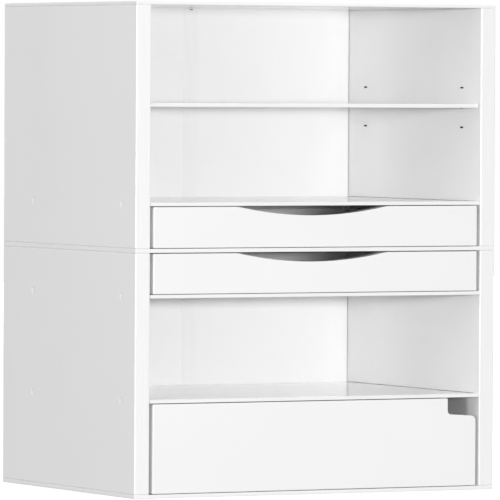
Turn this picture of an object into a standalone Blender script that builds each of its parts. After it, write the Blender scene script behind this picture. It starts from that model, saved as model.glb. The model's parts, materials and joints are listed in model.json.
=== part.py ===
"""Desk organizer: a white two-tier cabinet with three drawers, three fixed shelves and one loose shelf.

Units are metres and +Z is up. The origin is the middle of the base, the drawers face -Y, and left and
right are as seen from the front. Two pairs of 16 mm side panels stand between three thin boards that run
over their ends. Each drawer hangs on two runners that ride in grooves in its sides, and slides out
towards -Y. The loose shelf lies on four pegs, which sit in a rebate under each of its ends, with a spare
row of pegs above it and another below. The back panels stand in grooves in the boards.
"""
import math

import bmesh
import bpy
from mathutils import Matrix, Vector

# Cabinet
WIDTH = 0.400
DEPTH = 0.296
BASE_BOARD = 0.0037
MIDDLE_BOARD = 0.004
TOP_BOARD = 0.0032
SIDE = 0.016                  # side panels and drawer fronts
LOWER_CLEAR = 0.2347          # base board to middle board
UPPER_CLEAR = 0.2369          # middle board to top board
GAP = 0.0003                  # play between pieces that touch

# Shelves
FIXED_SHELF = 0.0034
LOOSE_SHELF = 0.004
UPPER_FLAT_CLEAR = 0.0414     # height of the upper flat drawer's compartment
LOWER_FLAT_CLEAR = 0.0407     # height of the lower flat drawer's compartment
DEEP_CLEAR = 0.0886           # height of the deep drawer's compartment
HOUSING = 0.005               # depth of the slots in the sides that hold the fixed shelves
SHOULDER = 0.012              # length of a fixed shelf's plain front, ahead of its slots
LOOSE_BOTTOM = 0.3800         # underside of the loose shelf
LOOSE_SETBACK = 0.003
LOOSE_END_PLAY = 0.0015
LOOSE_BACK_PLAY = 0.004

# Pegs of the loose shelf
PEG_RADIUS = 0.0008
PEG_REACH = 0.0025            # how far a peg stands out of the side panel
PEG_DEPTH = 0.010             # how far it goes in
PEG_PITCH = 0.0198
PEG_PLAY = 0.0002
PEG_SINK = 0.0011             # how far the pegs reach up into the loose shelf's rebates
PEG_COLUMNS = {"front": 0.037, "rear": 0.237}        # behind the front

# Pins that hold the fixed shelves from outside
PIN_RADIUS = 0.0008
PIN_HEAD_RADIUS = 0.0035
PIN_HEAD = 0.001
PIN_SINK = 0.0004             # how far the head sits below the side panel's face
PIN_LENGTH = 0.019
PIN_COLUMNS = {"front": 0.030, "rear": 0.227}        # behind the front

# Back
BACK_THICKNESS = 0.003
BACK_INNER = 0.2745           # front to the back panels' inner face
BACK_GROOVE = 0.0012          # depth of the grooves in the boards that hold the back panels
BACK_SLIT = 0.0009            # between a back panel and the side panel beside it

# Drawers
REVEAL_SIDE = 0.0037          # slits around a drawer front
REVEAL_BELOW = 0.0005
REVEAL_ABOVE = 0.0008
DRAWER_SIDE = 0.012           # sides and rear of a drawer box
DRAWER_LENGTH = 0.262         # from the face of the front to the end of the box
DRAWER_BOTTOM = 0.003
BOTTOM_RISE = 0.004           # under the drawer bottom
BOTTOM_SLOT = 0.005           # depth of the slots that hold it
FLAT_BOX = 0.0322             # height of a flat drawer's box
DEEP_BOX = 0.0660             # height of the deep drawer's box
RUNNER_HEIGHT = 0.009
RUNNER_SLOT = 0.006           # depth of the groove in the drawer's side
RUNNER_PLAY = 0.0004
RUNNER_LENGTH = 0.235

# Finger cut-outs
ARC_HALF_WIDTH = 0.083
ARC_DEPTH = 0.0088
ARC_OFFSET = -0.0045          # from the middle of the drawer front to the middle of the arc
ARC_BLEND = 0.030             # radius that eases the arc into the straight edge
ARC_STEPS = 20
NOTCH_WIDTH = 0.0318
NOTCH_DEPTH = 0.0158          # at its inner end
NOTCH_FALL = 0.0022           # how much deeper it is at the drawer's end
NOTCH_INNER_RADIUS = 0.0038
NOTCH_OUTER_RADIUS = 0.005
NOTCH_LIP_RADIUS = 0.0015
FRONT_CORNER = 0.0012         # corner radius of every drawer front

# Edges
SIDE_EASE = 0.0008
EDGE_EASE = 0.0005
FRONT_EASE = 0.0007
ROUND_SEGMENTS = 16

FRONT = -DEPTH / 2
INNER = WIDTH / 2 - SIDE
MIDDLE_BOTTOM = BASE_BOARD + LOWER_CLEAR
MIDDLE_TOP = MIDDLE_BOTTOM + MIDDLE_BOARD
TOP_BOTTOM = MIDDLE_TOP + UPPER_CLEAR
SIDES = {"left": -1, "right": 1}
BACK_FACE = FRONT + BACK_INNER

SHELF_BOTTOMS = {
    "upper": MIDDLE_TOP + UPPER_FLAT_CLEAR,
    "middle": MIDDLE_BOTTOM - LOWER_FLAT_CLEAR - FIXED_SHELF,
    "lower": BASE_BOARD + DEEP_CLEAR,
}
TIERS = {
    "upper": (MIDDLE_TOP, TOP_BOTTOM, ("upper",)),
    "lower": (BASE_BOARD, MIDDLE_BOTTOM, ("middle", "lower")),
}
PEG_ROW = LOOSE_BOTTOM + PEG_SINK - PEG_RADIUS
PEG_ROWS = {"low": PEG_ROW - PEG_PITCH, "used": PEG_ROW, "high": PEG_ROW + PEG_PITCH}


def clear_scene():
    for item in list(bpy.data.objects):
        bpy.data.objects.remove(item)


def make_material(name, colour, roughness, metallic=0.0):
    material = bpy.data.materials.new(name)
    material.use_nodes = True
    shader = material.node_tree.nodes["Principled BSDF"]
    shader.inputs["Base Color"].default_value = (*colour, 1.0)
    shader.inputs["Roughness"].default_value = roughness
    shader.inputs["Metallic"].default_value = metallic
    return material


def place(name, mesh, location, material, parent):
    """Add a mesh as a named object at a world location, under an empty."""
    piece = bpy.data.objects.new(name, mesh)
    bpy.context.scene.collection.objects.link(piece)
    if material:
        mesh.materials.append(material)
    piece.parent = parent
    piece.location = Vector(location) - (parent.location if parent else Vector())
    return piece


def make_empty(name, location):
    empty = bpy.data.objects.new(name, None)
    empty.empty_display_size = 0.03
    empty.location = location
    bpy.context.scene.collection.objects.link(empty)
    return empty


def mesh_from(name, shape):
    """Turn a bmesh into a mesh whose faces point out."""
    bmesh.ops.recalc_face_normals(shape, faces=shape.faces)
    mesh = bpy.data.meshes.new(name)
    shape.to_mesh(mesh)
    shape.free()
    return mesh


def add_box(shape, low, high):
    low, high = Vector(low), Vector(high)
    matrix = Matrix.Translation((low + high) / 2) @ Matrix.Diagonal((*(high - low), 1.0))
    bmesh.ops.create_cube(shape, size=1.0, matrix=matrix)


def add_rod(shape, start, end, radius):
    """Add a cylinder between two points on a line along X."""
    middle = (Vector(start) + Vector(end)) / 2
    turn = Matrix.Rotation(math.pi / 2, 4, "Y")
    bmesh.ops.create_cone(
        shape, cap_ends=True, segments=ROUND_SEGMENTS, radius1=radius, radius2=radius,
        depth=abs(end[0] - start[0]), matrix=Matrix.Translation(middle) @ turn,
    )


def ease_edges(piece, width, segments=2):
    bevel = piece.modifiers.new("eased edges", "BEVEL")
    bevel.width = width
    bevel.segments = segments
    bevel.limit_method = "ANGLE"
    bevel.angle_limit = math.radians(40)
    for polygon in piece.data.polygons:
        polygon.use_smooth = True
    piece.data.set_sharp_from_angle(angle=math.radians(40))


def cut(piece, label, boxes=(), rods=()):
    """Cut separate boxes and rods, given in world coordinates, out of a piece."""
    shape = bmesh.new()
    for low, high in boxes:
        add_box(shape, low, high)
    for start, end, radius in rods:
        add_rod(shape, start, end, radius)
    cutter = place(f"cut_{piece.name}_{label}", mesh_from(label, shape), (0, 0, 0), None, None)
    cutter.hide_render = True
    cutter.display_type = "WIRE"
    boolean = piece.modifiers.new(label, "BOOLEAN")
    boolean.operation = "DIFFERENCE"
    boolean.solver = "EXACT"
    boolean.object = cutter


def make_slab(name, low, high, material, parent, ease=EDGE_EASE):
    """A box between two world corners, with its origin at its middle and its edges eased."""
    low, high = Vector(low), Vector(high)
    half = (high - low) / 2
    shape = bmesh.new()
    add_box(shape, -half, half)
    slab = place(name, mesh_from(name, shape), (low + high) / 2, material, parent)
    if ease:
        ease_edges(slab, ease)
    return slab


def span(side, near, far):
    """X range from near to far of the middle plane, on one side of it."""
    return (near, far) if side > 0 else (-far, -near)


def fillet(corners, steps=5):
    """Outline through (x, z, radius) corners, each rounded by an arc of its radius."""
    outline = []
    for index, (x, z, radius) in enumerate(corners):
        corner = Vector((x, z))
        before = (Vector(corners[index - 1][:2]) - corner).normalized()
        after = (Vector(corners[(index + 1) % len(corners)][:2]) - corner).normalized()
        if radius == 0:
            outline.append(corner)
            continue
        half = before.angle(after) / 2
        centre = corner + (before + after).normalized() * radius / math.sin(half)
        start = corner + before * radius / math.tan(half) - centre
        end = corner + after * radius / math.tan(half) - centre
        sweep = start.angle_signed(end)
        for step in range(steps + 1):
            turn = Matrix.Rotation(-sweep * step / steps, 2)
            outline.append(centre + turn @ start)
    return outline


def finger_arc(top):
    """Points of the shallow finger cut-out from right to left: blend, long arc, blend."""
    radius = (ARC_HALF_WIDTH ** 2 + ARC_DEPTH ** 2) / (2 * ARC_DEPTH)
    centre = Vector((0.0, top - ARC_DEPTH + radius))
    offset = math.sqrt((radius + ARC_BLEND) ** 2 - (radius - ARC_DEPTH + ARC_BLEND) ** 2)
    lean = math.atan2(offset, radius - ARC_DEPTH + ARC_BLEND)
    blend_steps = 4
    points = []
    for step in range(blend_steps):
        angle = lean * step / blend_steps
        points.append(Vector((offset - ARC_BLEND * math.sin(angle), top - ARC_BLEND * (1 - math.cos(angle)))))
    for step in range(ARC_STEPS + 1):
        angle = lean * (1 - 2 * step / ARC_STEPS)
        points.append(centre + radius * Vector((math.sin(angle), -math.cos(angle))))
    mirrored = [Vector((-point.x, point.y)) for point in reversed(points[:blend_steps])]
    return [point + Vector((ARC_OFFSET, 0.0)) for point in points + mirrored]


def flat_front_outline(half_width, height):
    """Rounded rectangle, anticlockwise from its lower left corner, with the arc in its top edge."""
    corners = [
        (-half_width, 0.0, FRONT_CORNER),
        (half_width, 0.0, FRONT_CORNER),
        (half_width, height, FRONT_CORNER),
        (-half_width, height, FRONT_CORNER),
    ]
    outline = fillet(corners)
    right_end = 3 * len(outline) // 4
    return outline[:right_end] + finger_arc(height) + outline[right_end:]


def deep_front_outline(half_width, height):
    """Rounded rectangle whose upper right corner is cut away as a finger notch."""
    floor = height - NOTCH_DEPTH
    return fillet([
        (-half_width, 0.0, FRONT_CORNER),
        (half_width, 0.0, FRONT_CORNER),
        (half_width, floor - NOTCH_FALL, NOTCH_OUTER_RADIUS),
        (half_width - NOTCH_WIDTH, floor, NOTCH_INNER_RADIUS),
        (half_width - NOTCH_WIDTH, height, NOTCH_LIP_RADIUS),
        (-half_width, height, FRONT_CORNER),
    ])


def make_drawer_front(name, outline, bottom, material, parent):
    """Extrude an outline in X and Z backwards from the cabinet's front plane."""
    shape = bmesh.new()
    loop = [shape.verts.new((point.x, 0.0, point.y)) for point in outline]
    face = shape.faces.new(loop)
    extruded = bmesh.ops.extrude_face_region(shape, geom=[face])
    moved = [item for item in extruded["geom"] if isinstance(item, bmesh.types.BMVert)]
    bmesh.ops.translate(shape, verts=moved, vec=(0.0, SIDE, 0.0))
    front = place(name, mesh_from(name, shape), (0.0, FRONT, bottom), material, parent)
    ease_edges(front, FRONT_EASE)
    return front


def make_boards(white, cabinet):
    """Base, middle and top board, with the grooves for the back panels."""
    boards = {
        "base_board": (0.0, BASE_BOARD, ("top",)),
        "middle_board": (MIDDLE_BOTTOM, MIDDLE_TOP, ("bottom", "top")),
        "top_board": (TOP_BOTTOM, TOP_BOTTOM + TOP_BOARD, ("bottom",)),
    }
    for name, (bottom, top, grooved_faces) in boards.items():
        low = (-WIDTH / 2, FRONT, bottom)
        high = (WIDTH / 2, FRONT + DEPTH, top)
        board = make_slab(name, low, high, white, cabinet)
        levels = {"bottom": (bottom - GAP, bottom + BACK_GROOVE), "top": (top - BACK_GROOVE, top + GAP)}
        grooves = []
        for face in grooved_faces:
            start, end = levels[face]
            grooves.append((
                (-INNER, BACK_FACE - GAP, start),
                (INNER, BACK_FACE + BACK_THICKNESS + GAP, end),
            ))
        cut(board, "grooves", boxes=grooves)


def make_side(tier, side_name, white, cabinet):
    """One side panel with slots for the shelves, pin holes and, above, peg holes."""
    bottom, top, shelves = TIERS[tier]
    side = SIDES[side_name]
    left, right = span(side, INNER, WIDTH / 2)
    low = (left, FRONT, bottom + GAP)
    high = (right, FRONT + DEPTH, top - GAP)
    panel = make_slab(f"side_{tier}_{side_name}", low, high, white, cabinet, SIDE_EASE)

    slot_left, slot_right = span(side, INNER - GAP, INNER + HOUSING)
    slots = [
        (
            (slot_left, FRONT + SHOULDER - GAP, SHELF_BOTTOMS[shelf] - GAP),
            (slot_right, BACK_FACE, SHELF_BOTTOMS[shelf] + FIXED_SHELF + GAP),
        )
        for shelf in shelves
    ]
    cut(panel, "slots", boxes=slots)

    outer = side * (WIDTH / 2 + GAP)
    recess = side * (WIDTH / 2 - PIN_SINK - PIN_HEAD - GAP)
    through = side * (INNER + HOUSING - GAP)
    recesses = []
    bores = []
    for shelf in shelves:
        level = SHELF_BOTTOMS[shelf] + FIXED_SHELF / 2
        for column in PIN_COLUMNS.values():
            y = FRONT + column
            recesses.append(((outer, y, level), (recess, y, level), PIN_HEAD_RADIUS + GAP))
            bores.append(((outer, y, level), (through, y, level), PIN_RADIUS + GAP))
    cut(panel, "recesses", rods=recesses)
    cut(panel, "pin_bores", rods=bores)

    if tier == "upper":
        mouth = side * (INNER - GAP)
        deep_end = side * (INNER + PEG_DEPTH + GAP)
        holes = [
            ((mouth, FRONT + column, row), (deep_end, FRONT + column, row), PEG_RADIUS + GAP)
            for row in PEG_ROWS.values()
            for column in PEG_COLUMNS.values()
        ]
        cut(panel, "peg_holes", rods=holes)


def make_fixed_shelf(name, bottom, white, cabinet):
    """A shelf whose ends, behind a plain front, reach into the slots in the sides."""
    reach = INNER + HOUSING - GAP
    low = (-reach, FRONT, bottom)
    high = (reach, BACK_FACE - GAP, bottom + FIXED_SHELF)
    shelf = make_slab(f"fixed_shelf_{name}", low, high, white, cabinet, ease=None)
    corners = []
    for side in SIDES.values():
        left, right = span(side, INNER - GAP, reach + GAP)
        low = (left, FRONT - GAP, bottom - GAP)
        high = (right, FRONT + SHOULDER, bottom + FIXED_SHELF + GAP)
        corners.append((low, high))
    cut(shelf, "shoulders", boxes=corners)
    level = bottom + FIXED_SHELF / 2
    holes = []
    for side in SIDES.values():
        for column in PIN_COLUMNS.values():
            start = (side * (reach + GAP), FRONT + column, level)
            end = (side * (WIDTH / 2 - PIN_SINK - PIN_LENGTH - GAP), FRONT + column, level)
            holes.append((start, end, PIN_RADIUS + GAP))
    cut(shelf, "pin_holes", rods=holes)


def make_pin(name, side, column, level, steel, cabinet):
    """A flat-headed pin, driven through the side panel into the end of a fixed shelf."""
    shape = bmesh.new()
    profile = [(0.0, 0.0), (0.0, PIN_HEAD_RADIUS), (PIN_HEAD, PIN_HEAD_RADIUS),
               (PIN_HEAD, PIN_RADIUS), (PIN_LENGTH, PIN_RADIUS), (PIN_LENGTH, 0.0)]
    points = [shape.verts.new((-side * along, 0.0, radius)) for along, radius in profile]
    edges = [shape.edges.new(pair) for pair in zip(points, points[1:])]
    bmesh.ops.spin(
        shape, geom=points + edges, axis=(1, 0, 0), cent=(0, 0, 0), angle=2 * math.pi,
        steps=ROUND_SEGMENTS, use_merge=True,
    )
    bmesh.ops.remove_doubles(shape, verts=shape.verts, dist=0.00001)
    location = (side * (WIDTH / 2 - PIN_SINK), FRONT + column, level)
    pin = place(name, mesh_from(name, shape), location, steel, cabinet)
    smooth_sides(pin)


def smooth_sides(piece):
    piece.data.shade_smooth()
    piece.data.set_sharp_from_angle(angle=math.radians(40))


def make_peg(name, side, column, row, steel, cabinet):
    start = side * (INNER - PEG_REACH)
    end = side * (INNER + PEG_DEPTH)
    shape = bmesh.new()
    half = (end - start) / 2
    add_rod(shape, (-half, 0, 0), (half, 0, 0), PEG_RADIUS)
    peg = place(name, mesh_from(name, shape), (start + half, FRONT + column, row), steel, cabinet)
    smooth_sides(peg)


def make_backs(white, cabinet):
    """Two thin halves behind each tier, which meet on the middle plane."""
    for tier, (bottom, top, _) in TIERS.items():
        for side_name, side in SIDES.items():
            left, right = span(side, GAP / 2, INNER - BACK_SLIT)
            low = (left, BACK_FACE, bottom - BACK_GROOVE + GAP)
            high = (right, BACK_FACE + BACK_THICKNESS, top + BACK_GROOVE - GAP)
            make_slab(f"back_{tier}_{side_name}", low, high, white, cabinet, ease=None)


def make_loose_shelf(white, slide):
    """The loose shelf. Its rebates start at the front pegs, which keep it off the back."""
    half = INNER - LOOSE_END_PLAY
    rear = BACK_FACE - LOOSE_BACK_PLAY
    low = (-half, FRONT + LOOSE_SETBACK, LOOSE_BOTTOM)
    high = (half, rear, LOOSE_BOTTOM + LOOSE_SHELF)
    shelf = make_slab("adjustable_shelf", low, high, white, slide)
    start = FRONT + PEG_COLUMNS["front"] - PEG_RADIUS - PEG_PLAY
    rebates = []
    for side in SIDES.values():
        left, right = span(side, INNER - PEG_REACH - GAP, half + GAP)
        low = (left, start, LOOSE_BOTTOM - GAP)
        high = (right, rear + GAP, LOOSE_BOTTOM + PEG_SINK + PEG_PLAY)
        rebates.append((low, high))
    cut(shelf, "rebates", boxes=rebates)


def make_drawer(name, floor, clear, box_height, outline_of, white, liner, wood, cabinet):
    """A drawer with its two runners. The runners stay on the cabinet, the rest slides out."""
    bottom = floor + REVEAL_BELOW
    height = clear - REVEAL_BELOW - REVEAL_ABOVE
    half_width = INNER - REVEAL_SIDE
    inner_face = half_width - DRAWER_SIDE
    behind_front = FRONT + SIDE + GAP
    rear = FRONT + DRAWER_LENGTH
    slide = make_empty(f"{name}_slide", (0.0, FRONT, bottom))

    panel_bottom = bottom + BOTTOM_RISE
    panel_top = panel_bottom + DRAWER_BOTTOM
    slot_low = panel_bottom - GAP
    slot_high = panel_top + GAP

    front = make_drawer_front(f"{name}_front", outline_of(half_width, height), bottom, white, slide)
    slot_half = inner_face + BOTTOM_SLOT
    slot = ((-slot_half, FRONT + SIDE - BOTTOM_SLOT, slot_low), (slot_half, FRONT + SIDE + GAP, slot_high))
    cut(front, "bottom_slot", boxes=[slot])

    runner_middle = bottom + box_height / 2 + BOTTOM_RISE / 2
    groove_half = RUNNER_HEIGHT / 2 + RUNNER_PLAY
    for side_name, side in SIDES.items():
        left, right = span(side, inner_face, half_width)
        low = (left, behind_front, bottom)
        high = (right, rear, bottom + box_height)
        panel = make_slab(f"{name}_{side_name}", low, high, white, slide)
        slot_left, slot_right = span(side, inner_face - GAP, slot_half)
        slot_box = ((slot_left, behind_front - GAP, slot_low), (slot_right, rear + GAP, slot_high))
        groove_left, groove_right = span(side, half_width - RUNNER_SLOT, half_width + GAP)
        groove_box = (
            (groove_left, behind_front - GAP, runner_middle - groove_half),
            (groove_right, rear + GAP, runner_middle + groove_half),
        )
        cut(panel, "grooves", boxes=[slot_box, groove_box])

        left, right = span(side, half_width - RUNNER_SLOT + RUNNER_PLAY, INNER - GAP)
        low = (left, behind_front, runner_middle - RUNNER_HEIGHT / 2)
        high = (right, behind_front + RUNNER_LENGTH, runner_middle + RUNNER_HEIGHT / 2)
        make_slab(f"{name}_runner_{side_name}", low, high, wood, cabinet)

    low = (-inner_face + GAP, rear - DRAWER_SIDE, panel_top + GAP)
    high = (inner_face - GAP, rear, bottom + box_height)
    make_slab(f"{name}_rear", low, high, white, slide)

    low = (-slot_half + GAP, FRONT + SIDE - BOTTOM_SLOT + GAP, panel_bottom)
    high = (slot_half - GAP, rear, panel_top)
    make_slab(f"{name}_bottom", low, high, liner, slide, ease=None)


def build():
    clear_scene()
    white = make_material("white_lacquer", (0.86, 0.86, 0.86), 0.45)
    thin_white = make_material("white_board", (0.83, 0.83, 0.83), 0.6)
    wood = make_material("runner_beech", (0.62, 0.45, 0.28), 0.55)
    pin_steel = make_material("pin_steel", (0.75, 0.75, 0.75), 0.4, 1.0)
    peg_steel = make_material("peg_steel", (0.03, 0.03, 0.03), 0.35, 1.0)

    cabinet = make_empty("cabinet", (0.0, 0.0, 0.0))
    make_boards(white, cabinet)
    for tier in TIERS:
        for side_name in SIDES:
            make_side(tier, side_name, white, cabinet)
    for name, bottom in SHELF_BOTTOMS.items():
        make_fixed_shelf(name, bottom, white, cabinet)
        for side_name, side in SIDES.items():
            for place_name, column in PIN_COLUMNS.items():
                pin_name = f"shelf_pin_{name}_{side_name}_{place_name}"
                make_pin(pin_name, side, column, bottom + FIXED_SHELF / 2, pin_steel, cabinet)
    for row_name, row in PEG_ROWS.items():
        for side_name, side in SIDES.items():
            for place_name, column in PEG_COLUMNS.items():
                peg_name = f"peg_{row_name}_{side_name}_{place_name}"
                make_peg(peg_name, side, column, row, peg_steel, cabinet)
    make_backs(thin_white, cabinet)

    shelf_slide = make_empty("adjustable_shelf_slide", (0.0, FRONT, LOOSE_BOTTOM))
    make_loose_shelf(white, shelf_slide)
    drawers = [
        ("upper_drawer", MIDDLE_TOP, UPPER_FLAT_CLEAR, FLAT_BOX, flat_front_outline),
        ("lower_drawer", MIDDLE_BOTTOM - LOWER_FLAT_CLEAR, LOWER_FLAT_CLEAR, FLAT_BOX, flat_front_outline),
        ("deep_drawer", BASE_BOARD, DEEP_CLEAR, DEEP_BOX, deep_front_outline),
    ]
    for name, floor, clear, box_height, outline_of in drawers:
        make_drawer(name, floor, clear, box_height, outline_of, white, thin_white, wood, cabinet)


build()
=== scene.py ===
"""Looks of the desk organizer: its surfaces, joint fillings, stage, light and camera."""
import json
import math

import bmesh
import bpy
from mathutils import Euler, Matrix, Vector


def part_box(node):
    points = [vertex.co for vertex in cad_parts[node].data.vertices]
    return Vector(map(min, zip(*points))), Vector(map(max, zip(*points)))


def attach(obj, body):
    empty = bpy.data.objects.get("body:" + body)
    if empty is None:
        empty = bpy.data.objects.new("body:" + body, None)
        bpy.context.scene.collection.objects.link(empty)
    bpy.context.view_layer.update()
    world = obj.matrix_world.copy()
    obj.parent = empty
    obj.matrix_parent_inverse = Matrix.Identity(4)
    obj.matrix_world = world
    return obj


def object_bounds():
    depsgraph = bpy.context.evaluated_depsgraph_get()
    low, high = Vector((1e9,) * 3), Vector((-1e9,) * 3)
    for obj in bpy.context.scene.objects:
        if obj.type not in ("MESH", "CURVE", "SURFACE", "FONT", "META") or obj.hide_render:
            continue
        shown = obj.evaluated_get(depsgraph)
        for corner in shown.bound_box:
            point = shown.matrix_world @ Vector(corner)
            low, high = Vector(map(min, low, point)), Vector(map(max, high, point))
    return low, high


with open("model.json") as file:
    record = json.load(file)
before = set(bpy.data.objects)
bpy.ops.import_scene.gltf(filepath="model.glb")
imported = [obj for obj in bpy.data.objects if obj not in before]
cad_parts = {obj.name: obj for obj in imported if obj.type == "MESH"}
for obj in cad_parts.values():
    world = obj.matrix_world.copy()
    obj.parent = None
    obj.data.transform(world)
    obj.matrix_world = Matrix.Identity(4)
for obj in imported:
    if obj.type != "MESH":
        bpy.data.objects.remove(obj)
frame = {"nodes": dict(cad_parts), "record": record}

cad_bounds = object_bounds()

SHARP_ANGLE = math.radians(35)
NOISE_LOW, NOISE_HIGH = 0.3, 0.7      # the part of a noise texture's range that is used

# Seams and fillings
GLUE_SETBACK = 0.0003         # how far a glue line lies behind the boards' edges
FILLER_RADIUS = 0.00375       # filling over a pin head
FILLER_DISH = 0.0004          # depth of the sunken ring between its rim and its middle
FILLER_RINGS = 8
FILLER_SEGMENTS = 32
TAPE_WIDTH = 0.016
TAPE_THICKNESS = 0.0005
TAPE_MARGIN = 0.0002          # left free above and below the tape
STAPLE_WIDTH = 0.0034
STAPLE_WIRE = 0.0008
STAPLE_BELOW_TOP = 0.0012     # top board's underside to the middle of the wire

# Camera, on the organizer's front left, almost level
CAMERA_TARGET = Vector((-0.0593, -0.1185, 0.2397))
CAMERA_AZIMUTH = math.radians(27.725)
CAMERA_ELEVATION = math.radians(1.482)
CAMERA_ROLL = math.radians(0.307)
CAMERA_DISTANCE = 6.354
CAMERA_LENS = 465.8
CAMERA_SENSOR = 36.0
CAMERA_CLIP = 200.0

# Studio: name, azimuth from straight in front, distance, lowest and highest edge, width, power
SOFT_BOXES = (
    ("key", -14, 9.0, 0.4, 0.75, 1.4, 172.0),
    ("near_key", -14, 3.8, 0.34, 0.48, 0.6, 28.0),
    ("near_side", -22, 3.8, 0.34, 0.48, 0.6, 8.0),
    ("near_front", 2, 3.8, 0.34, 0.48, 0.6, 22.0),
    ("left_strip", -55, 9.0, 0.4, 0.8, 1.4, 195.0),
    ("left_fill", -85, 9.0, 0.1, 2.6, 4.5, 248.0),
    ("back_fill", 140, 9.0, 0.1, 2.6, 7.0, 420.0),
)
OVERHEAD_HEIGHT = 3.5
OVERHEAD_SIZE = 2.5
OVERHEAD_POWER = 75.0
SURROUND_SEEN = 1.0           # the surround's strength as the camera sees it
SURROUND_LIGHT = 0.2          # its strength as a light
FLOOR_GLOW = 0.35
FLOOR_SIZE = 12.0
DIFFUSE_BOUNCES = 8


# ---------------------------------------------------------------- materials

class Surface:
    """A Principled material and short calls that add nodes to it."""

    def __init__(self, name, roughness, metallic=0.0):
        self.material = bpy.data.materials.new(name)
        self.material.use_nodes = True
        self.tree = self.material.node_tree
        self.shader = self.tree.nodes["Principled BSDF"]
        self.shader.inputs["Roughness"].default_value = roughness
        self.shader.inputs["Metallic"].default_value = metallic
        self.coordinates = self.tree.nodes.new("ShaderNodeTexCoord")

    def link(self, output, target):
        self.tree.links.new(output, target)

    def stretched(self, scale):
        """Object coordinates, scaled per axis."""
        mapping = self.tree.nodes.new("ShaderNodeMapping")
        mapping.inputs["Scale"].default_value = scale
        self.link(self.coordinates.outputs["Object"], mapping.inputs["Vector"])
        return mapping.outputs["Vector"]

    def noise(self, scale, detail=2.0, roughness=0.5, vector=None):
        noise = self.tree.nodes.new("ShaderNodeTexNoise")
        noise.inputs["Scale"].default_value = scale
        noise.inputs["Detail"].default_value = detail
        noise.inputs["Roughness"].default_value = roughness
        self.link(vector or self.coordinates.outputs["Object"], noise.inputs["Vector"])
        return noise.outputs["Fac"]

    def spread(self, value, low, high):
        """Map a noise value to a range."""
        node = self.tree.nodes.new("ShaderNodeMapRange")
        node.inputs["From Min"].default_value = NOISE_LOW
        node.inputs["From Max"].default_value = NOISE_HIGH
        node.inputs["To Min"].default_value = low
        node.inputs["To Max"].default_value = high
        self.link(value, node.inputs["Value"])
        return node.outputs["Result"]

    def combine(self, operation, first, second):
        """Join two values, each a number or a node's output."""
        node = self.tree.nodes.new("ShaderNodeMath")
        node.operation = operation
        for socket, value in zip(node.inputs, (first, second)):
            if isinstance(value, (int, float)):
                socket.default_value = value
            else:
                self.link(value, socket)
        return node.outputs["Value"]

    def colour(self, value, *stops):
        """Colour ramp from evenly spread (r, g, b) stops into Base Color."""
        ramp = self.tree.nodes.new("ShaderNodeValToRGB")
        elements = ramp.color_ramp.elements
        while len(elements) < len(stops):
            elements.new(0.5)
        for index, (element, stop) in enumerate(zip(elements, stops)):
            element.position = index / (len(stops) - 1)
            element.color = (*stop, 1.0)
        self.link(value, ramp.inputs["Fac"])
        self.link(ramp.outputs["Color"], self.shader.inputs["Base Color"])

    def mix(self, first, share, second):
        """Weighted sum of two values: a share of the first, and the rest of the second."""
        first = self.combine("MULTIPLY", first, share)
        second = self.combine("MULTIPLY", second, 1.0 - share)
        return self.combine("ADD", first, second)

    def bump(self, height, distance):
        node = self.tree.nodes.new("ShaderNodeBump")
        node.inputs["Distance"].default_value = distance
        self.link(height, node.inputs["Height"])
        self.link(node.outputs["Normal"], self.shader.inputs["Normal"])

    def vary_roughness(self, value, low, high):
        self.link(self.spread(value, low, high), self.shader.inputs["Roughness"])


def grey(level):
    return (level, level, level)


def make_lacquer():
    """Satin white lacquer on fibreboard: fine orange peel and faint clouding."""
    surface = Surface("satin_lacquer", 0.17)
    clouds = surface.noise(9.0, detail=4.0)
    specks = surface.noise(420.0, detail=3.0)
    tone = surface.mix(clouds, 0.7, specks)
    surface.colour(surface.spread(tone, 0.0, 1.0), grey(0.885), grey(0.9), grey(0.91))
    surface.vary_roughness(surface.noise(30.0, detail=3.0), 0.14, 0.2)
    surface.bump(surface.noise(380.0, detail=2.0), 0.00003)
    return surface.material


def make_edge_lacquer():
    """The same lacquer on the panels' sanded edges, with faint streaks along them."""
    surface = Surface("edge_lacquer", 0.24)
    streaks = surface.noise(1.0, detail=4.0, vector=surface.stretched((700.0, 700.0, 26.0)))
    surface.colour(surface.spread(streaks, 0.0, 1.0), grey(0.88), grey(0.9), grey(0.91))
    surface.vary_roughness(streaks, 0.19, 0.28)
    surface.bump(streaks, 0.000015)
    return surface.material


def make_thin_lacquer():
    """Smoother, glossier lacquer of the thin hardboard boards and shelves."""
    surface = Surface("board_lacquer", 0.1)
    clouds = surface.noise(12.0, detail=4.0)
    surface.colour(surface.spread(clouds, 0.0, 1.0), grey(0.885), grey(0.9), grey(0.91))
    surface.vary_roughness(surface.noise(60.0, detail=2.0), 0.098, 0.102)
    surface.bump(surface.noise(60.0, detail=1.0), 0.0000005)
    return surface.material


def make_board():
    """Matte white faced hardboard, with the fine linen emboss of its foil."""
    surface = Surface("faced_board", 0.55)
    threads = surface.noise(1.0, detail=1.0, vector=surface.stretched((1400.0, 1400.0, 240.0)))
    crossing = surface.noise(1.0, detail=1.0, vector=surface.stretched((240.0, 240.0, 1400.0)))
    clouds = surface.noise(7.0, detail=4.0)
    surface.colour(surface.spread(clouds, 0.0, 1.0), grey(0.86), grey(0.875), grey(0.885))
    surface.vary_roughness(surface.noise(60.0), 0.5, 0.62)
    surface.bump(surface.combine("ADD", threads, crossing), 0.00004)
    return surface.material


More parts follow.
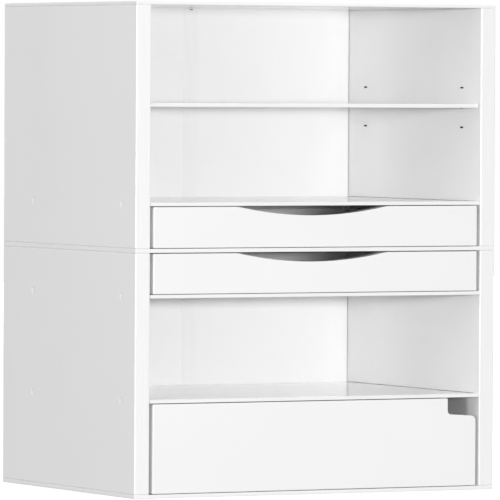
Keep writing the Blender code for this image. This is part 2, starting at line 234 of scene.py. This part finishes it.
def make_beech():
    """Oiled beech, with grain and flecks along the runners."""
    surface = Surface("oiled_beech", 0.5)
    along = surface.stretched((260.0, 9.0, 260.0))
    grain = surface.noise(1.0, detail=6.0, roughness=0.6, vector=along)
    flecks = surface.noise(1.0, detail=1.0, vector=surface.stretched((1500.0, 130.0, 1500.0)))
    tone = surface.mix(grain, 0.75, flecks)
    shades = ((0.42, 0.27, 0.15), (0.58, 0.41, 0.25), (0.68, 0.51, 0.34))
    surface.colour(surface.spread(tone, 0.0, 1.0), *shades)
    surface.vary_roughness(flecks, 0.42, 0.6)
    surface.bump(tone, 0.00008)
    return surface.material


def make_steel(name, dark, light, roughness):
    """Drawn steel wire, with fine marks around it."""
    surface = Surface(name, roughness, metallic=1.0)
    turned = surface.noise(1.0, detail=3.0, vector=surface.stretched((2600.0, 300.0, 300.0)))
    surface.colour(surface.spread(turned, 0.0, 1.0), grey(dark), grey(light))
    surface.vary_roughness(turned, roughness - 0.08, roughness + 0.1)
    surface.bump(turned, 0.00001)
    return surface.material


def make_filler():
    """Glue, a shade duller than the lacquer beside it."""
    surface = Surface("joint_filler", 0.6)
    grain = surface.noise(900.0, detail=4.0)
    surface.colour(surface.spread(grain, 0.0, 1.0), grey(0.84), grey(0.88))
    surface.vary_roughness(grain, 0.52, 0.68)
    surface.bump(grain, 0.00003)
    return surface.material


def make_tape():
    """Slightly wavy joint tape."""
    surface = Surface("joint_tape", 0.38)
    ripple = surface.noise(1.0, detail=2.0, vector=surface.stretched((160.0, 160.0, 14.0)))
    surface.colour(surface.spread(ripple, 0.0, 1.0), grey(0.85), grey(0.875))
    surface.vary_roughness(surface.noise(90.0), 0.33, 0.45)
    surface.bump(ripple, 0.0002)
    return surface.material


def make_floor_material():
    """Pale floor that glows a little, so that it stays white under the object."""
    surface = Surface("pale_floor", 0.9)
    surface.colour(surface.spread(surface.noise(3.0, detail=4.0), 0.0, 1.0), grey(0.93), grey(0.95))
    surface.bump(surface.noise(200.0), 0.0001)
    surface.shader.inputs["Emission Color"].default_value = (1.0, 1.0, 1.0, 1.0)
    surface.shader.inputs["Emission Strength"].default_value = FLOOR_GLOW
    return surface.material


# ---------------------------------------------------------------- pieces

def add_piece(name, shape, material, body):
    """Turn a bmesh in the frame's coordinates into a piece that rides on a body."""
    bmesh.ops.recalc_face_normals(shape, faces=shape.faces)
    mesh = bpy.data.meshes.new(name)
    shape.to_mesh(mesh)
    shape.free()
    mesh.materials.append(material)
    piece = bpy.data.objects.new(name, mesh)
    bpy.context.scene.collection.objects.link(piece)
    mesh.shade_smooth()
    mesh.set_sharp_from_angle(angle=SHARP_ANGLE)
    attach(piece, body)
    return piece


def add_box(shape, low, high):
    low, high = Vector(low), Vector(high)
    matrix = Matrix.Translation((low + high) / 2) @ Matrix.Diagonal((*(high - low), 1.0))
    bmesh.ops.create_cube(shape, size=1.0, matrix=matrix)


def make_glue_lines(material):
    """The film between each board and the side panels that stand on it or hang under it."""
    for tier in ("lower", "upper"):
        for side in ("left", "right"):
            low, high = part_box(f"side_{tier}_{side}")
            board_under = "base_board" if tier == "lower" else "middle_board"
            board_over = "middle_board" if tier == "lower" else "top_board"
            films = {
                "under": (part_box(board_under)[1].z, low.z),
                "over": (high.z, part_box(board_over)[0].z),
            }
            for place, (bottom, top) in films.items():
                shape = bmesh.new()
                add_box(
                    shape,
                    (low.x + GLUE_SETBACK, low.y + GLUE_SETBACK, bottom),
                    (high.x - GLUE_SETBACK, high.y - GLUE_SETBACK, top),
                )
                add_piece(f"glue_{tier}_{side}_{place}", shape, material, "cabinet")


def make_pin_fillers(material):
    """A filling over each pin head, level with the side panel but for a sunken ring."""
    for node in sorted(frame["nodes"]):
        if not node.startswith("shelf_pin_"):
            continue
        low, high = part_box(node)
        side = 1.0 if high.x > 0 else -1.0
        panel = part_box("side_lower_right" if side > 0 else "side_lower_left")
        face = panel[1].x if side > 0 else panel[0].x
        head = high.x if side > 0 else low.x
        centre = Vector((0.0, (low.y + high.y) / 2, (low.z + high.z) / 2))
        shape = bmesh.new()
        rows = []
        for ring in range(1, FILLER_RINGS + 1):
            out = ring / FILLER_RINGS
            x = face - side * FILLER_DISH * math.sin(math.pi * out) ** 2
            rows.append(ring_of(shape, centre, x, FILLER_RADIUS * out))
        rows.append(ring_of(shape, centre, head, FILLER_RADIUS))
        shape.faces.new(rows[0])
        for inner, outer in zip(rows, rows[1:]):
            for index in range(FILLER_SEGMENTS):
                after = (index + 1) % FILLER_SEGMENTS
                shape.faces.new((inner[index], inner[after], outer[after], outer[index]))
        shape.faces.new(reversed(rows[-1]))
        name = node.replace("shelf_pin", "pin_filler")
        add_piece(name, shape, material, "cabinet")


def ring_of(shape, centre, x, radius):
    """A ring of vertices around the x axis through a centre."""
    step = 2 * math.pi / FILLER_SEGMENTS
    ring = []
    for index in range(FILLER_SEGMENTS):
        y = centre.y + radius * math.cos(step * index)
        z = centre.z + radius * math.sin(step * index)
        ring.append(shape.verts.new((x, y, z)))
    return ring


def make_back_tapes(material):
    """The tape down the middle of each back, over the joint between its two halves."""
    for tier in ("lower", "upper"):
        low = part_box(f"back_{tier}_left")[0]
        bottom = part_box("base_board" if tier == "lower" else "middle_board")[1].z
        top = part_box("middle_board" if tier == "lower" else "top_board")[0].z
        shape = bmesh.new()
        add_box(
            shape,
            (-TAPE_WIDTH / 2, low.y - TAPE_THICKNESS, bottom + TAPE_MARGIN),
            (TAPE_WIDTH / 2, low.y, top - TAPE_MARGIN),
        )
        add_piece(f"back_tape_{tier}", shape, material, "cabinet")


def make_back_staple(material):
    """The crown of a staple at the top of the upper tape."""
    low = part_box("back_upper_left")[0]
    face = low.y - TAPE_THICKNESS
    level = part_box("top_board")[0].z - STAPLE_BELOW_TOP
    shape = bmesh.new()
    add_box(
        shape,
        (-STAPLE_WIDTH / 2, face - STAPLE_WIRE, level - STAPLE_WIRE / 2),
        (STAPLE_WIDTH / 2, face, level + STAPLE_WIRE / 2),
    )
    bmesh.ops.bevel(
        shape, geom=shape.edges[:], offset=STAPLE_WIRE / 3, segments=2, profile=0.5, affect="EDGES",
    )
    add_piece("back_staple", shape, material, "cabinet")


# ---------------------------------------------------------------- stage

def make_floor(material):
    """A floor that the camera sees but that neither lights the object nor shows in it."""
    bpy.ops.mesh.primitive_plane_add(size=FLOOR_SIZE)
    floor = bpy.context.object
    floor.name = "floor"
    floor.data.materials.append(material)
    floor.visible_diffuse = False
    floor.visible_glossy = False


def make_world():
    """A surround that the camera sees as white and that lights the object only softly."""
    world = bpy.data.worlds.new("studio")
    world.use_nodes = True
    tree = world.node_tree
    background = tree.nodes["Background"]
    background.inputs["Color"].default_value = (1.0, 1.0, 1.0, 1.0)
    path = tree.nodes.new("ShaderNodeLightPath")
    strength = tree.nodes.new("ShaderNodeMapRange")
    strength.inputs["To Min"].default_value = SURROUND_LIGHT
    strength.inputs["To Max"].default_value = SURROUND_SEEN
    tree.links.new(path.outputs["Is Camera Ray"], strength.inputs["Value"])
    tree.links.new(strength.outputs["Result"], background.inputs["Strength"])
    bpy.context.scene.world = world


def add_area_light(name, location, width, height, power):
    """An area light that faces the object's middle."""
    light = bpy.data.lights.new(name, "AREA")
    light.shape = "RECTANGLE"
    light.size = width
    light.size_y = height
    light.energy = power
    lamp = bpy.data.objects.new(name, light)
    middle = Vector((0.0, 0.0, (cad_bounds[0][2] + cad_bounds[1][2]) / 2))
    lamp.location = location
    lamp.rotation_euler = (lamp.location - middle).to_track_quat("Z", "Y").to_euler()
    bpy.context.scene.collection.objects.link(lamp)


def make_lights():
    for name, azimuth, distance, low, high, width, power in SOFT_BOXES:
        angle = math.radians(azimuth)
        location = (math.sin(angle) * distance, -math.cos(angle) * distance, (low + high) / 2)
        add_area_light(name, location, width, high - low, power)
    above = (0.0, 0.0, OVERHEAD_HEIGHT)
    add_area_light("overhead", above, OVERHEAD_SIZE, OVERHEAD_SIZE, OVERHEAD_POWER)


def make_camera():
    """Long lens, looking level from the front left."""
    forward = Vector((
        math.sin(CAMERA_AZIMUTH) * math.cos(CAMERA_ELEVATION),
        math.cos(CAMERA_AZIMUTH) * math.cos(CAMERA_ELEVATION),
        -math.sin(CAMERA_ELEVATION),
    ))
    data = bpy.data.cameras.new("camera")
    data.lens = CAMERA_LENS
    data.sensor_width = CAMERA_SENSOR
    data.clip_end = CAMERA_CLIP
    camera = bpy.data.objects.new("camera", data)
    camera.location = CAMERA_TARGET - forward * CAMERA_DISTANCE
    turn = forward.to_track_quat("-Z", "Y") @ Euler((0.0, 0.0, CAMERA_ROLL)).to_quaternion()
    camera.rotation_euler = turn.to_euler()
    bpy.context.scene.collection.objects.link(camera)
    bpy.context.scene.camera = camera


def dress_cad_nodes(materials, thin_lacquer, edge_lacquer):
    """Give the thin boards and shelves the thin lacquer and every other CAD node the material of
    its slot in the record, and smooth their eased edges.
    """
    slots = {item["node"]: item["material_slot"] for item in frame["record"]["subparts"]}
    for name, node in frame["nodes"].items():
        mesh = node.data
        mesh.materials.clear()
        thin = name.endswith("_board") or "_shelf" in name
        mesh.materials.append(thin_lacquer if thin else materials[slots[name]])
        mesh.shade_smooth()
        mesh.set_sharp_from_angle(angle=SHARP_ANGLE)
        if name.startswith("side_"):
            mesh.materials.append(edge_lacquer)
            for polygon in mesh.polygons:
                if abs(polygon.normal.y) > 0.9:
                    polygon.material_index = 1


materials = {
    "white_lacquer": make_lacquer(),
    "white_board": make_board(),
    "runner_beech": make_beech(),
    "pin_steel": make_steel("zinc_steel", 0.6, 0.75, 0.35),
    "peg_steel": make_steel("black_steel", 0.02, 0.06, 0.35),
}
filler = make_filler()
dress_cad_nodes(materials, make_thin_lacquer(), make_edge_lacquer())
make_glue_lines(filler)
make_pin_fillers(materials["white_lacquer"])
make_back_tapes(make_tape())
make_back_staple(materials["peg_steel"])
make_floor(make_floor_material())
make_world()
make_lights()
make_camera()
bpy.context.scene.view_settings.view_transform = "Standard"
bpy.context.scene.cycles.diffuse_bounces = DIFFUSE_BOUNCES
